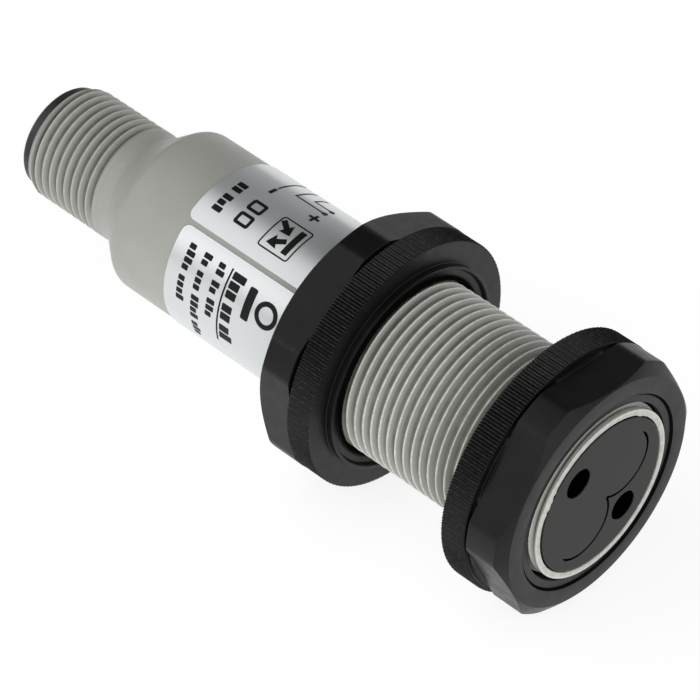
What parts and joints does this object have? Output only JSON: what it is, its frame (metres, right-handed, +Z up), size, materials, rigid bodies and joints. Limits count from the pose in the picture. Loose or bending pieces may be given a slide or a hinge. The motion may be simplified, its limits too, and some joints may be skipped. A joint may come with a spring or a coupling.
{
  "type": "photoelectric sensor",
  "caption": "Cylindrical M18 photoelectric sensor: threaded plastic barrel with fixing nuts that run along it, a flat optical face, a wrapped label and an M12 plug.",
  "frame": {"origin": "centre of the sensing face, on the barrel's axis", "axes": "+X along the barrel, out of the sensing face; +Z up"},
  "size_m": [0.0696, 0.026, 0.026],
  "materials": {
    "grey_housing": "fine matt moulded thermoplastic",
    "nut_plastic": "satin moulded nylon",
    "dark_disc": "smooth dark grey plastic",
    "seal_rubber": "nitrile rubber",
    "holder_plastic": "matt black moulding",
    "emitter_resin": "clear tinted epoxy",
    "receiver_resin": "daylight-blocking black epoxy",
    "board": "solder mask on glass-fibre",
    "chip_plastic": "moulded epoxy package",
    "capacitor_body": "moulded epoxy",
    "ceramic_body": "ceramic chip",
    "resistor_body": "glazed chip",
    "potting_resin": "cast resin",
    "insert_plastic": "black moulded plastic",
    "contact_gold": "gold plated brass",
    "label_film": "silver printed film",
    "wire_brown": "insulation",
    "wire_white": "insulation",
    "wire_blue": "insulation",
    "wire_black": "insulation"
  },
  "bodies": {
    "sensor": {"barrel_housing": "grey_housing", "front_disc": "dark_disc", "disc_seal": "seal_rubber", "optics_holder": "holder_plastic", "emitter_led": "emitter_resin", "receiver_diode": "receiver_resin", "main_board": "board", "sensor_ic": "chip_plastic", "voltage_regulator": "chip_plastic", "output_transistor": "chip_plastic", "protection_diode": "chip_plastic", "storage_capacitor": "capacitor_body", "filter_capacitor": "ceramic_body", "gain_resistor": "resistor_body", "limit_resistor": "resistor_body", "potting_plug": "potting_resin", "connector_insert": "insert_plastic", "contact_pin_1": "contact_gold", "contact_pin_2": "contact_gold", "contact_pin_3": "contact_gold", "contact_pin_4": "contact_gold", "wire_brown": "wire_brown", "wire_white": "wire_white", "wire_blue": "wire_blue", "wire_black": "wire_black", "label": "label_film"},
    "front_nut": {"front_nut": "nut_plastic"},
    "rear_nut": {"rear_nut": "nut_plastic"}
  },
  "joints": [
    {"name": "front_nut_travel", "type": "slide", "parent": "sensor", "child": "front_nut", "axis": [1, 0, 0], "range_m": [-0.0073, 0.004]},
    {"name": "rear_nut_travel", "type": "slide", "parent": "sensor", "child": "rear_nut", "axis": [1, 0, 0], "range_m": [0, 0.0073]}
  ]
}
